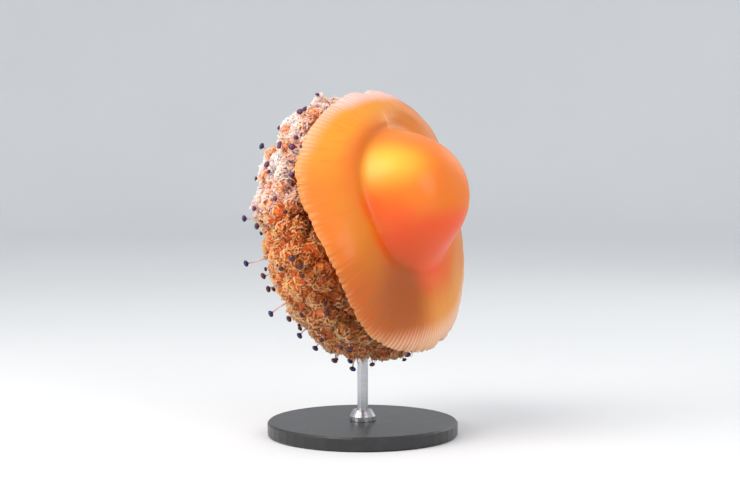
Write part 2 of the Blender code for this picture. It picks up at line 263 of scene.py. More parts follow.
UP = Vector((-math.sin(PITCH), 0.0, math.cos(PITCH)))
NEAR = Vector((0.0, -1.0, 0.0))
BODY_TURN = Matrix((UP, NEAR, UP.cross(NEAR))).transposed()

# The view's width at the middle of the model, how far the view's middle lies off the rim's, and
# the studio's other sizes.
VIEW_WIDTH = 0.6098
FRAMING = (0.01813, 0.01483)
SENSOR = 36.0
LIGHT_DISTANCE = 1.5
SWEEP_BEND = 0.8


def paint(red, green, blue):
    """A paint named by how it looks, 0 to 255, as the linear colour that a shader takes."""
    return tuple((value / 255.0) ** 2.2 for value in (red, green, blue))


# ---------------------------------------------------------------- settings

def length(name, description, default):
    return FloatProperty(name=name, description=description, default=default, min=0.0, unit="LENGTH",
                         precision=4)


def number(name, description, default, most):
    return IntProperty(name=name, description=description, default=default, min=1, max=most)


def power(name, description, default):
    return FloatProperty(name=name, description=description, default=default, min=0.0, unit="POWER")


def degrees(name, description, default):
    return FloatProperty(name=name, description=description, default=math.radians(default),
                         subtype="ANGLE")


def colour(name, description, red, green, blue):
    return FloatVectorProperty(name=name, description=description, default=paint(red, green, blue),
                               size=3, min=0.0, max=1.0, subtype="COLOR")


class JellyfishBell(bpy.types.PropertyGroup):
    groove: length("Lappet groove", "Depth of the grooves between the margin's lappets", 0.0004)
    crest: length("Fold crest", "Height of the thin crest along the fold of the disc", 0.0002)
    ripple: length("Ripple", "Height of the soft ripples over the bell", 0.0005)
    # Yolk is the dome's yellow; it also makes the painted highlight on the dome's lit flank and along
    # the fold's crest.
    yolk: colour("Yolk", "Lit flank of the dome", 242, 180, 50)
    dome: colour("Dome", "The rest of the dome", 232, 119, 30)
    disc: colour("Disc", "Flat part of the bell", 215, 122, 28)
    # Ember is painted shade on the dome's low side, in the crescent round its foot and in the gutter;
    # it also tints the veins and the near side of the disc's outer ring.
    ember: colour("Ember", "Low side of the dome and the crescent round its foot", 236, 76, 28)
    # Umber is painted shade: on the disc's low side, under the dome and beyond the fold on the far
    # side.
    umber: colour("Umber", "Shade on the disc under the dome", 160, 76, 8)
    margin: colour("Margin", "Lappets round the rim", 234, 166, 122)
    blush: colour("Blush", "Lappets of the rim's top", 232, 180, 180)
    pleat: colour("Pleats", "Pale lines along the lappets", 255, 226, 206)


class JellyfishArms(bpy.types.PropertyGroup):
    depth: length("Frill depth", "How far the skin of the arms lies under the frills' tips", 0.0020)
    crevice: length("Crevice", "Depth of the cuts between the lobes", 0.0047)
    dimple: length("Dimple", "Depth of the cuts between the lobes' knobs", 0.0019)
    frill_width: length("Frill width", "Across one frill", 0.0064)
    frill_height: length("Frill height", "From a frill's root to its lip", 0.0034)
    frill_wall: length("Frill thickness", "Thickness of a frill", 0.0006)
    frills: number("Frills", "Number of frills before they are thinned out", 14000, 20000)
    fingers: number("Fingers", "Number of dark fingers before the upper ones are thinned", 620, 3000)
    amber: colour("Amber", "Middle of the arms", 255, 132, 58)
    rust: colour("Rust", "Darker patches of the arms", 230, 112, 52)
    # Rose on the upper side and clay on the lower are partly the arms' own colours and partly painted
    # light from above and painted shade below.
    rose: colour("Rose", "Upper side of the arms", 255, 228, 212)
    coral: colour("Coral", "Bright patches among the rose", 240, 124, 66)
    clay: colour("Clay", "Lower side of the arms", 206, 110, 62)
    olive: colour("Olive", "Greenish patches of the lower side", 186, 122, 60)
    # Maroon is also painted shade in the crevices between the lobes.
    maroon: colour("Maroon", "Crevices and fingers", 110, 40, 26)


class JellyfishDiscs(bpy.types.PropertyGroup):
    radius: length("Disc radius", "Half the width of a long stalk's disc", 0.0029)
    height: length("Disc height", "Thickness of a long stalk's disc", 0.0038)
    stalk: length("Stalk radius", "Half the width of a stalk", 0.00055)
    small: number("Small discs", "Number of short-stalked discs all over the mass", 110, 1000)
    navy: colour("Navy", "Long discs", 22, 22, 84)
    violet: colour("Violet", "Discs of the upper side", 84, 28, 74)
    wine: colour("Wine", "Discs that lie among the frills", 70, 12, 18)
    glassy: colour("Stalks", "Stalks of the discs", 214, 190, 180)


class JellyfishStand(bpy.types.PropertyGroup):
    lacquer: colour("Lacquer", "Painted base", 34, 34, 36)
    worn: colour("Worn lacquer", "Dusty patches of the base", 58, 58, 60)
    steel: colour("Steel", "Rod and collar", 196, 197, 200)
    brushed: colour("Brushed steel", "Darker lines in the steel", 150, 151, 155)


class JellyfishStudio(bpy.types.PropertyGroup):
    floor: colour("Floor", "Floor and sweep behind the model", 226, 228, 230)
    floor_radius: length("Floor radius", "From the model to where the sweep begins to rise", 2.6)
    sweep: length("Sweep", "Height of the sweep", 2.6)
    distance: length("Camera distance", "From the camera to the middle of the view", 1.4)
    azimuth: degrees("Azimuth", "Camera's turn round the model", 36.0)
    elevation: degrees("Elevation", "Camera's height over the horizon", 4.0)
    key: power("Key light", "Power of the large light over the model", 12.1)
    fill: power("Fill light", "Power of the light beside the camera", 6.5)
    side: power("Side light", "Power of the light beside the arms", 10.0)
    back: power("Back light", "Power of the light behind the bell", 2.5)


GROUPS = {
    "jellyfish_bell": JellyfishBell,
    "jellyfish_arms": JellyfishArms,
    "jellyfish_discs": JellyfishDiscs,
    "jellyfish_stand": JellyfishStand,
    "jellyfish_studio": JellyfishStudio,
}


# ---------------------------------------------------------------- the bell's shape

def smooth_step(value, low, high):
    share = np.clip((value - low) / (high - low), 0.0, 1.0)
    return share * share * (3.0 - 2.0 * share)


def hump(off, width):
    """1 at the middle, falling away on both sides with the width."""
    return np.exp(-(off / width) ** 2)


def bearing_gap(bearing, middle):
    """Degrees from a middle bearing, between -180 and 180."""
    return (bearing - middle + 180.0) % 360.0 - 180.0


def round_humps(bearing, humps):
    """The sum of the humps round the rim, each with its bearing, width and height."""
    return sum(height * hump(bearing_gap(bearing, middle), width) for middle, width, height in humps)


def crown_height(rho):
    """Height of the bell's outer face over the rim plane, all in shares of the rim's radius."""
    disc = DISC_RISE * (1.0 - rho ** DISC_POWER)
    dome = DOME_RISE * np.maximum(0.0, 1.0 - (rho / DOME_RADIUS) ** DOME_POWER) ** DOME_SOFTNESS
    return disc + dome - GUTTER_DEPTH * hump(rho - GUTTER_RADIUS, GUTTER_WIDTH)


def hollow_height(rho):
    return HOLLOW_RISE * (1.0 - rho ** HOLLOW_POWER) - RIM_THICKNESS


def rim_stretch(bearing):
    stretch = 1.0
    for waves, first, share in RIM_OVALS:
        stretch = stretch + share * np.cos(waves * (np.radians(bearing) - math.radians(first)))
    return stretch


def disc_drop(rho, bearing):
    """Where the disc is sunk: a sag low on the far side, and a fold behind a soft radial crest."""
    sag = SAG_DEPTH * hump(bearing_gap(bearing, SAG_BEARING), SAG_WIDTH)
    sag = sag * hump(rho - SAG_RADIUS, SAG_SPREAD)
    past = bearing_gap(bearing, FOLD_BEARING)
    edge = FOLD_EDGE[0] + FOLD_EDGE[1] * smooth_step(rho, *FOLD_SOFTENS)
    fold = FOLD_DEPTH * hump(np.minimum(past, 0.0), FOLD_WIDTH)
    fold = fold / (1.0 + np.exp(np.clip(past / edge, -40.0, 40.0)))
    return sag + fold * smooth_step(rho, *FOLD_START) * (1.0 - smooth_step(rho, *FOLD_END))


def sway(rho, turn, height):
    """Carry points of the round bell, in shares of the rim's radius, to their places in the pose."""
    bearing = np.degrees(turn)
    share = smooth_step(rho, SWAY_START, 1.0)
    reach = rho * (1.0 - share + rim_stretch(bearing) * share)
    lean = 1.0 - share
    return RIM_RADIUS * np.stack((
        reach * np.cos(turn) + DOME_LEAN[0] * lean,
        reach * np.sin(turn) + DOME_LEAN[1] * lean,
        height + round_humps(bearing, RIM_WAVES) * share - disc_drop(rho, bearing),
    ), axis=-1)


def bell_surface(bell, rho, turn, height, outer):
    """The swayed bell with its lappets, grooves, ripples and the crest of its fold."""
    wander = 0.007 * np.sin(23.0 * turn + 1.0) + 0.005 * np.sin(41.0 * turn)
    between = 0.5 + 0.5 * np.cos((turn + wander + math.pi / 8.0) * LAPPETS)
    between = between * (0.62 + 0.38 * np.sin(17.0 * turn + 2.0 * np.sin(5.0 * turn)))
    octant = 0.5 + 0.5 * np.cos((turn + math.pi / 8.0) * 8.0)
    reach = smooth_step(rho, LAPPET_ROOT, 1.0)
    bearing = np.degrees(turn)
    notch = LAPPET_NOTCH * (between ** 1.5 + 0.25 * octant ** 60) + round_humps(bearing, RIM_CUTS)
    shrunk = rho * (1.0 - notch * reach)
    groove = bell.groove / RIM_RADIUS * between ** 2 * smooth_step(rho, *GROOVE_SPAN)
    crest = bell.crest / RIM_RADIUS * hump(bearing_gap(bearing, CREST_BEARING), CREST_WIDTH)
    crest = crest * hump(rho - CREST_RADIUS, CREST_SPREAD)
    waves = np.sin(3 * turn + 9 * rho) * np.cos(7 * turn - 6 * rho) * smooth_step(rho, 0.50, 0.75)
    waves = waves + 0.8 * np.sin(28 * turn + 3 * np.sin(3 * turn)) * smooth_step(rho, 0.80, 1.0)
    ripple = bell.ripple / RIM_RADIUS * waves
    lift = np.where(outer, crest - groove, 0.5 * groove) + ripple
    return sway(shrunk, turn, height + lift)


# ---------------------------------------------------------------- the arms' shape

def arm_swell(turn, slope):
    """Share by which the lobes push the mass out: valleys between arms, forks and smaller lobes."""
    bearing, tilt = np.degrees(turn), np.degrees(slope)
    off_arm = (bearing - ARM_TURN) % ARM_STEP
    off_arm = np.where(off_arm > 0.5 * ARM_STEP, off_arm - ARM_STEP, off_arm)
    valley = ARM_VALLEY * (np.abs(off_arm) / (0.5 * ARM_STEP)) ** 3
    fork = ARM_FORK * hump(off_arm, ARM_FORK_WIDTH) * smooth_step(-tilt, -35.0, 20.0)
    first, second = LOBE_PHASES
    lobes = ARM_LOBE * np.sin(5 * turn + 7 * slope + first) * np.cos(11 * turn - 5 * slope + second)
    swells = sum(share * np.exp(-(bearing_gap(bearing, middle) ** 2 + (tilt - level) ** 2) / width ** 2)
                 for middle, level, width, share in ARM_SWELLS)
    oval = ARM_OVAL * np.cos(2 * turn)
    fade = (1.0 - smooth_step(tilt, 45.0, 60.0)) * smooth_step(tilt, -90.0, -74.0)
    return (lobes + swells + oval - valley - fork) * fade


def hang(place):
    """Lean points of the upright arm mass to where they hang."""
    leant = place.copy()
    leant[..., 0] += ARM_SHIFT + ARM_LEAN * (place[..., 2] + ARM_DROP)
    return leant


def arm_outward(turn, slope):
    """The way out of the unlobed mass."""
    depth = np.where(slope > 0.0, ARM_TOP, ARM_DEPTH)
    out = np.maximum(np.cos(slope), 0.0) ** ARM_FULLNESS / ARM_REACH
    way = np.stack((out * np.cos(turn), out * np.sin(turn), np.sin(slope) / depth), axis=-1)
    return way / np.linalg.norm(way, axis=-1, keepdims=True)


def arm_surface(turn, slope, sunk=0.0):
    """Points of the lobed mass, sunk by so much, in the body's own axes."""
    scale = 1.0 + arm_swell(turn, slope)
    radius = ARM_REACH * np.maximum(np.cos(slope), 0.0) ** ARM_FULLNESS * scale
    rise = np.where(slope > 0.0, ARM_TOP, ARM_DEPTH) * np.sin(slope) * scale
    place = np.stack((radius * np.cos(turn), radius * np.sin(turn), rise - ARM_DROP), axis=-1)
    return hang(place - arm_outward(turn, slope) * np.asarray(sunk)[..., None])


def lattice(count, rng, jitter):
    """Turns and slopes of points spread evenly over the mass, each moved a little."""
    step = np.arange(count) + 0.5
    height = 1.0 - 2.0 * step / count + rng.normal(0.0, jitter / math.sqrt(count), count)
    turn = step * GOLDEN_TURN + rng.normal(0.0, 2.0 * jitter / math.sqrt(count), count)
    return turn, np.arcsin(np.clip(height, -1.0, 1.0))


def lobe_crowns(places, middles, breadth, batch=4096):
    """For each place, its nearest middle's number and how far it is inside that lobe, 0 to 1."""
    nearest = np.empty(len(places), int)
    crown = np.empty(len(places))
    for start in range(0, len(places), batch):
        part = slice(start, start + batch)
        apart = np.linalg.norm(places[part, None, :] - middles[None, :, :], axis=2)
        order = np.argpartition(apart, 1, axis=1)[:, :2]
        two = np.take_along_axis(apart, order, axis=1)
        nearest[part] = order[np.arange(len(order)), two.argmin(axis=1)]
        crown[part] = smooth_step(two.max(axis=1) - two.min(axis=1), 0.0, breadth)
    return nearest, crown


class ArmMass:
    """The arms' skin: the mass with crevices between its lobes and dimples between their knobs."""

    def __init__(self, arms):
        rng = np.random.default_rng(31)
        self.arms = arms
        self.lobes = arm_surface(*lattice(LOBES, rng, 0.55))
        self.knobs = arm_surface(*lattice(KNOBS, rng, 0.50))

    def __call__(self, turn, slope):
        """Places on the skin, the middle of each one's knob, and how high each stands, 0 to 1."""
        smooth = arm_surface(turn, slope)
        _, lobe = lobe_crowns(smooth, self.lobes, LOBE_BREADTH)
        which, knob = lobe_crowns(smooth, self.knobs, KNOB_BREADTH)
        fade = 1.0 - smooth_step(np.degrees(slope), *LOBED_BELOW)
        cut = (self.arms.crevice * (1.0 - lobe) + self.arms.dimple * (1.0 - knob)) * fade
        places = arm_surface(turn, slope, self.arms.depth * (0.25 + 0.75 * fade) + cut)
        return places, self.knobs[which], lobe * (0.6 + 0.4 * knob)


# ---------------------------------------------------------------- meshes

def to_row(places):
    """Carry points from the body's own axes to the model's."""
    return places @ np.array(BODY_TURN).T + np.array(RIM_MIDDLE)


def add_object(name, mesh, material, slot=None):
    thing = bpy.data.objects.new(name, mesh)
    bpy.context.scene.collection.objects.link(thing)
    mesh.materials.append(material)
    if slot:
        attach(thing, "root")
    return thing


def values_of(items, field, kind, width=1):
    held = np.empty(len(items) * width, kind)
    items.foreach_get(field, held)
    return held.reshape(-1, width) if width > 1 else held


def set_values(mesh, name, values):
    layer = mesh.attributes.new(name, "FLOAT", "POINT")
    layer.data.foreach_set("value", np.ascontiguousarray(values, np.float32))


def set_map(mesh, name, places):
    layer = mesh.uv_layers.new(name=name, do_init=False)
    layer.uv.foreach_set("vector", np.ascontiguousarray(places, np.float32).ravel())


def loop_starts(counts):
    """Where each face's corners begin, from how many it has."""
    return np.concatenate(([0], np.cumsum(counts)[:-1])).astype(np.int32)


def spun(section, steps, layer_name=None):
    """A closed round shape from a section of (radius, height) points, turned once about Z."""
    bm = bmesh.new()
    layer = bm.verts.layers.float.new(layer_name) if layer_name else None
    verts = [bm.verts.new((radius, 0.0, height)) for radius, height in section]
    if layer:
        for row, vert in enumerate(verts):
            vert[layer] = row
    edges = [bm.edges.new(pair) for pair in zip(verts, verts[1:])]
    bmesh.ops.spin(bm, geom=verts + edges, cent=(0, 0, 0), axis=(0, 0, 1), angle=math.tau,
                   steps=steps, use_merge=True)
    bmesh.ops.remove_doubles(bm, verts=bm.verts, dist=1e-7)
    bmesh.ops.recalc_face_normals(bm, faces=bm.faces)
    return bm


def mesh_of(bm, name):
    mesh = bpy.data.meshes.new(name)
    bm.to_mesh(mesh)
    bm.free()
    mesh.shade_smooth()
    return mesh


# ---------------------------------------------------------------- the skin

class SkinRows:
    """The rows of the skin's section: crown, rim, hollow, neck and arms, down to the foot."""

    def __init__(self):
        crown = np.concatenate([np.linspace(low, high, count, endpoint=False)
                                for low, high, count in CROWN_STATIONS])
        crown = crown[crown < 1.0 - 0.6 * RIM_THICKNESS]
        edge = 0.5 * RIM_THICKNESS
        around = np.radians(np.linspace(80.0, -80.0, RIM_ROWS))
        hollow = np.array(HOLLOW_STATIONS)
        neck = np.array(NECK)
        slopes = np.radians(np.linspace(ARM_TOP_SLOPE, -90.0, ARM_ROWS))
        self.rho = np.concatenate((
            crown, 1.0 - edge + edge * np.cos(around), hollow,
            neck[:, 0] / RIM_RADIUS, np.zeros(ARM_ROWS)))
        self.height = np.concatenate((
            crown_height(crown), edge * np.sin(around) - edge, hollow_height(hollow),
            neck[:, 1] / RIM_RADIUS, np.zeros(ARM_ROWS)))
        bell = len(crown) + RIM_ROWS + len(hollow)
        self.rim = len(crown) + RIM_ROWS // 2
        self.neck = bell
        self.arms = bell + len(neck)
        self.count = self.arms + ARM_ROWS
        self.flesh = np.concatenate((np.zeros(bell), neck[:, 2], np.ones(ARM_ROWS)))
        self.slope = np.concatenate((np.zeros(self.arms), slopes))

    def section(self):
        """The plain round section that is spun; the arms' rows stand where they can't touch others."""
        radius = np.where(np.arange(self.count) < self.arms, self.rho * RIM_RADIUS,
                          ARM_REACH * np.maximum(np.cos(self.slope), 0.0) ** ARM_FULLNESS)
        radius[[0, -1]] = 0.0
        height = np.where(np.arange(self.count) < self.arms, self.height * RIM_RADIUS,
                          ARM_DEPTH * np.sin(self.slope) - 2.0 * ARM_DEPTH)
        return list(zip(radius, height))

    def chart_reach(self, chart):
        """How far each row lies from a chart's middle, in shares of the chart's radius."""
        row = np.arange(self.count)
        if chart == "crown":
            return np.clip(self.rho * np.where(row <= self.rim, 1.0, 0.0), 0.0, 1.0)
        if chart == "hollow":
            return 1.0 - 0.8 * np.clip((row - self.rim) / (self.arms - self.rim), 0.0, 1.0)
        return arm_chart_reach(self.slope)


def arm_chart_reach(slope):
    return np.clip((np.degrees(slope) + 90.0) / (90.0 + ARM_TOP_SLOPE), 0.0, 1.0)


def on_chart(chart, reach, turn):
    """Places on a map, by chart, share of the chart's radius and turn."""
    middle, radius = CHARTS[chart]
    return middle + (radius * reach)[..., None] * np.stack((np.cos(turn), np.sin(turn)), axis=-1)


def map_skin(mesh, rows, row, turn):
    """The skin's baking map, and a plain map of turn and share of the rim's radius for its lines."""
    corner_vert = values_of(mesh.loops, "vertex_index", np.int32)
    counts = values_of(mesh.polygons, "loop_total", np.int32)
    face_row = np.minimum.reduceat(row[corner_vert], loop_starts(counts))
    face_of = np.repeat(np.arange(len(counts)), counts)
    corner_row, corner_turn = row[corner_vert], turn[corner_vert]

    pole = (corner_row == 0) | (corner_row == rows.count - 1)
    lead = np.full(len(counts), -1e9)
    np.maximum.at(lead, face_of, np.where(pole, -1e9, corner_turn))
    unrolled = corner_turn.copy()
    behind = lead[face_of] - corner_turn > math.pi
    unrolled[behind] += math.tau
    middle = np.zeros(len(counts))
    np.add.at(middle, face_of, np.where(pole, 0.0, unrolled))
    middle /= np.bincount(face_of, ~pole)
    unrolled[pole] = middle[face_of][pole]
    set_map(mesh, "Lappets", np.stack((unrolled / math.tau, rows.rho[corner_row]), axis=-1))

    baking = np.empty((len(corner_vert), 2))
    charts = ("crown", "hollow", "arms")
    for chart, low, high in zip(charts, (0, rows.rim, rows.arms), (rows.rim, rows.arms, rows.count)):
        here = (face_row[face_of] >= low) & (face_row[face_of] < high)
        reach = rows.chart_reach(chart)[corner_row[here]]
        baking[here] = on_chart(chart, reach, corner_turn[here])
    set_map(mesh, "OFBake", baking)


def skin_mesh(bell, mass):
    rows = SkinRows()
    mesh = mesh_of(spun(rows.section(), COLUMNS, "row"), "jelly_skin")
    row = np.rint(values_of(mesh.attributes["row"].data, "value", np.float32)).astype(int)
    round_place = values_of(mesh.vertices, "co", np.float32, 3).astype(float)
    turn = np.arctan2(round_place[:, 1], round_place[:, 0])

    places = bell_surface(bell, rows.rho[row], turn, rows.height[row], row <= rows.rim)
    hollow = np.stack((round_place[:, 0], round_place[:, 1], rows.height[row] * RIM_RADIUS), axis=-1)
    gap = PILLAR_GAP * (0.5 - 0.5 * np.cos(PILLARS * turn))
    gap = gap * hump(hollow[:, 2] - PILLAR_MIDDLE, PILLAR_SPREAD)
    hollow[:, :2] *= 1.0 - gap[:, None]
    share = rows.flesh[row][:, None]
    places = places * (1.0 - share) + hang(hollow) * share
    arms = row >= rows.arms
    crown = np.ones(len(row))
    places[arms], _, crown[arms] = mass(turn[arms], rows.slope[row[arms]])

    mesh.vertices.foreach_set("co", to_row(places).astype(np.float32).ravel())
    mesh.attributes.remove(mesh.attributes["row"])
    set_values(mesh, "flesh", smooth_step(row, rows.neck, rows.arms))
    set_values(mesh, "crown", crown)
    map_skin(mesh, rows, row, turn)
    mesh.update()
    return mesh


# ---------------------------------------------------------------- small shapes, many times over

class Shape:
    """A small mesh to repeat, with each vertex's share of the way to its tip."""

    def __init__(self, bm):
        bmesh.ops.recalc_face_normals(bm, faces=bm.faces)
        mesh = mesh_of(bm, "shape")
        self.places = values_of(mesh.vertices, "co", np.float32, 3).astype(float)
        self.tips = values_of(mesh.attributes["tip"].data, "value", np.float32)
        self.corners = values_of(mesh.loops, "vertex_index", np.int32)
        self.counts = values_of(mesh.polygons, "loop_total", np.int32)
        self.patch = values_of(mesh.uv_layers["patch"].uv, "vector", np.float32, 2)
        self.triangles = int((self.counts - 2).sum())
        bpy.data.meshes.remove(mesh)


def frill_shape(arms, rng):
    """One ruffled lip: a fan that widens and waves towards its free edge, given a thin wall."""
    bm = bmesh.new()
    tip = bm.verts.layers.float.new("tip")
    patch = bm.loops.layers.uv.new("patch")
    bmesh.ops.create_grid(bm, x_segments=7, y_segments=2, size=0.5)
    phase, waves = rng.uniform(0.0, math.tau), rng.uniform(1.3, 2.2)
    curl, arch, droop = rng.uniform(-0.30, 0.30), rng.uniform(0.10, 0.40), rng.uniform(0.10, 0.40)
    for face in bm.faces:
        for loop in face.loops:
            loop[patch].uv = (0.23 + 0.46 * loop.vert.co.x, loop.vert.co.y + 0.5)
    for vert in bm.verts:
        across, out = 2.0 * vert.co.x, vert.co.y + 0.5
        vert[tip] = out
        spread = FRILL_SPREAD * across
        wave = 0.15 * out * math.sin(math.pi * waves * across + phase)
        bow = wave + curl * out * across * 0.4 + droop * out * out - arch * across ** 2
        vert.co = Vector((
            (0.22 * across + 0.40 * out * math.sin(spread)) * arms.frill_width,
            bow * arms.frill_width,
            out * (0.42 + 0.58 * math.cos(spread) - 0.10 * droop * out) * arms.frill_height,
        ))
    outer = set(bm.faces)
    bmesh.ops.solidify(bm, geom=list(bm.faces), thickness=arms.frill_wall)
    for face in bm.faces:
        if face not in outer:
            for loop in face.loops:
                twin = loop[patch].uv
                loop[patch].uv = (1.0 - twin.x, 0.04 + 0.90 * twin.y)
    return Shape(bm)


def finger_shape(rng):
    """One small tapering finger, a little bent."""
    bm = spun(FINGER_SECTION, 5)
    shape_patch(bm, FINGER_LENGTH)
    bend, phase = rng.uniform(0.15, 0.45), rng.uniform(0.0, math.tau)
    for vert in bm.verts:
        out = vert.co.z / FINGER_LENGTH
        vert.co.x += bend * 0.0050 * out * out
        vert.co.y += 0.0007 * math.sin(4.0 * out + phase)
    return Shape(bm)


def shape_patch(bm, height):
    """Give a spun shape its tips, and a patch that unrolls it round its own axis."""
    tip = bm.verts.layers.float.new("tip")
    patch = bm.loops.layers.uv.new("patch")
    for vert in bm.verts:
        vert[tip] = vert.co.z / height
    for face in bm.faces:
        middle = face.calc_center_median()
        lead = math.atan2(middle.y, middle.x)
        for loop in face.loops:
            place = loop.vert.co
            off = 0.0
            if math.hypot(place.x, place.y) > 1e-7:
                off = (math.atan2(place.y, place.x) - lead + math.pi) % math.tau - math.pi
            loop[patch].uv = ((lead + off) / math.tau + 0.5, place.z / height)


def disc_shape(radius, height, stalk, reach, rooted):
    """A bent stalk with a button across its end, standing on the mass with its root sunk in it."""
    neck = reach - height
    section = [(0.0, -rooted), (stalk * 1.9, -rooted), (stalk, 0.5 * neck), (stalk * 1.3, neck)]
    section += [(radius * math.cos(angle), neck + 0.5 * height * (1.0 + math.sin(angle)))
                for angle in np.radians((-52.0, -18.0, 16.0, 48.0, 74.0))]
    section.append((0.0, neck + height))
    bm = spun(section, 10)
    bmesh.ops.translate(bm, verts=bm.verts, vec=(0.0, 0.0, rooted))
    shape_patch(bm, reach + rooted)
    for vert in bm.verts:
        out = vert.co.z / (reach + rooted)
        vert.co.x += STALK_BEND * 4.0 * out * (1.0 - out)
    bmesh.ops.translate(bm, verts=bm.verts, vec=(0.0, 0.0, -rooted))
    return Shape(bm)


def frames_about(up, across):
    """Turns whose third axis is up and whose first lies near across."""
    up = up / np.linalg.norm(up, axis=1, keepdims=True)
    across = across - up * (across * up).sum(axis=1, keepdims=True)
    across = across / np.linalg.norm(across, axis=1, keepdims=True)
    return np.stack((across, np.cross(up, across), up), axis=2)


def keep(chosen, *held):
    """The chosen rows of several arrays."""
    return [values[chosen] for values in held]


def copies_mesh(name, shapes, kinds, turns, places, charts, tones, crowns):
    """One mesh of many small shapes, each turned, placed and mapped to its root's place."""
    parts = {key: [] for key in ("places", "corners", "counts", "patch", "tip", "tone", "crown")}
    used = 0
    for kind, shape in enumerate(shapes):
        who = np.flatnonzero(kinds == kind)
        if not len(who):
            continue
        count = len(shape.places)
        moved = np.einsum("nij,vj->nvi", turns[who], shape.places) + places[who, None, :]
        parts["places"].append(moved.reshape(-1, 3))
        start = used + count * np.arange(len(who))
        parts["corners"].append((shape.corners[None, :] + start[:, None]).ravel())
        parts["counts"].append(np.tile(shape.counts, len(who)))
        spots = charts[who, None, :] + PATCH * (shape.patch[None, :, :] - 0.5)
        parts["patch"].append(spots.reshape(-1, 2))
        parts["tip"].append(np.tile(shape.tips, len(who)))
        parts["tone"].append(np.repeat(tones[who], count))
        parts["crown"].append(np.repeat(crowns[who], count))
        used += count * len(who)
    whole = {key: np.concatenate(held) for key, held in parts.items()}
    mesh = bpy.data.meshes.new(name)
    mesh.vertices.add(len(whole["places"]))
    mesh.vertices.foreach_set("co", to_row(whole["places"]).astype(np.float32).ravel())
    mesh.loops.add(len(whole["corners"]))
    mesh.loops.foreach_set("vertex_index", whole["corners"].astype(np.int32))
    mesh.polygons.add(len(whole["counts"]))
    mesh.polygons.foreach_set("loop_start", loop_starts(whole["counts"]))
    mesh.update(calc_edges=True)
    for key in ("tip", "tone", "crown"):
        set_values(mesh, key, whole[key])
    set_map(mesh, "OFBake", whole["patch"])
    mesh.shade_smooth()
    return mesh


def off_rod(places, clear):
    """Whether each place in the body's own axes is clear of the stand's rod."""
    where = to_row(places)
    _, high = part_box("stand_rod")
    return (np.hypot(where[:, 0], where[:, 1]) > clear) | (where[:, 2] > high.z + ROD_HEADROOM)


# ---------------------------------------------------------------- finishes

class Wire:
    """A shader socket; sums with numbers or other wires add their Math nodes."""

    def __init__(self, finish, socket):
        self.finish = finish
        self.socket = socket

    def math(self, operation, *values):
        return self.finish.node("Math", {"operation": operation}, dict(enumerate(values)))

    def __add__(self, other):
        return self.math("ADD", self, other)

    def __sub__(self, other):
        return self.math("SUBTRACT", self, other)

    def __rsub__(self, other):
        return self.math("SUBTRACT", other, self)

    def __mul__(self, other):
        return self.math("MULTIPLY", self, other)

    def __truediv__(self, other):
        return self.math("DIVIDE", self, other)

    def __rtruediv__(self, other):
        return self.math("DIVIDE", other, self)

    def __pow__(self, other):
        return self.math("POWER", self, other)

    def __rpow__(self, other):
        return self.math("POWER", other, self)

    __radd__ = __add__
    __rmul__ = __mul__

    def step(self, low, high):
        """0 below low, 1 above high and smooth between; low may be the greater."""
        return self.finish.node("MapRange", {"interpolation_type": "SMOOTHSTEP"},
                                {"Value": self, "From Min": low, "From Max": high})

    def near(self, middle, width):
        """1 at a middle value, falling to 0 a width away on both sides."""
        return (1.0 - self.math("ABSOLUTE", self - middle) / width).step(0.0, 1.0)

    def cosine(self):
        return self.math("COSINE", self)

    def root(self):
        return self.math("SQRT", self)

    def greater(self, other):
        return self.math("MAXIMUM", self, other)


class Finish:
    """A material in the making."""

    def __init__(self, name, **constants):
        self.material = bpy.data.materials.new(name)
        self.material.use_nodes = True
        self.tree = self.material.node_tree
        self.shader = self.tree.nodes["Principled BSDF"]
        for socket, value in constants.items():
            self.shader.inputs[socket.replace("_", " ")].default_value = value

    def node(self, kind, settings, inputs, output=0):
        """Any node: its type, its settings, and the values or wires of its sockets."""
        node = self.tree.nodes.new("ShaderNode" + kind)
        for name, value in settings.items():
            setattr(node, name, value)
        for name, value in inputs.items():
            self.set(node.inputs[name], value)
        return Wire(self, node.outputs[output])

    def set(self, socket, value):
        if isinstance(value, Wire):
            self.tree.links.new(value.socket, socket)
        elif socket.type == "RGBA" and len(value) == 3:
            socket.default_value = (*value, 1.0)
        else:
            socket.default_value = value

    def feed(self, name, value):
        self.set(self.shader.inputs[name], value)

    def mix(self, first, second, share):
        """The first colour turned to the second by a share."""
        return self.node("Mix", {"data_type": "RGBA", "clamp_factor": True},
                         {"Factor": share, "A": first, "B": second}, "Result")

    def layers(self, base, *coats):
        """A colour with others laid over it in turn, each by its share."""
        for over, share in coats:
            base = self.mix(base, over, share)
        return base

    def attributes(self, *names):
        return [self.node("Attribute", {"attribute_name": name}, {}, "Fac") for name in names]

    def place(self, turned=True):
        """The surface's place, in the body's own axes or in the model's."""
        place = self.node("TexCoord", {}, {}, "Object")
        if not turned:
            return place
        return self.node("Mapping", {"vector_type": "TEXTURE"}, {
            "Vector": place, "Location": RIM_MIDDLE, "Rotation": BODY_TURN.to_euler()})

    def parts(self, vector):
        """A vector's three numbers."""
        first = self.node("SeparateXYZ", {}, {"Vector": vector})
        return [Wire(self, socket) for socket in first.socket.node.outputs]

    def vector(self, x, y, z):
        return self.node("CombineXYZ", {}, {"X": x, "Y": y, "Z": z})

    def noise(self, place, scale, detail):
        """Cloudy noise, mostly between 0.3 and 0.7."""
        return self.node("TexNoise", {}, {"Vector": place, "Scale": scale, "Detail": detail})

    def bump(self, height, distance):
        """Feed a height, in shares of a distance in metres, to the surface."""
        self.feed("Normal", self.node("Bump", {}, {"Height": height, "Distance": distance}))


def jelly(name, share, depths, **constants):
    """A finish that light enters: how much of it, and how deep its red, green and blue go."""
    return Finish(name, Subsurface_Weight=share, Subsurface_Radius=depths, Subsurface_Scale=1.0,
                  **constants)


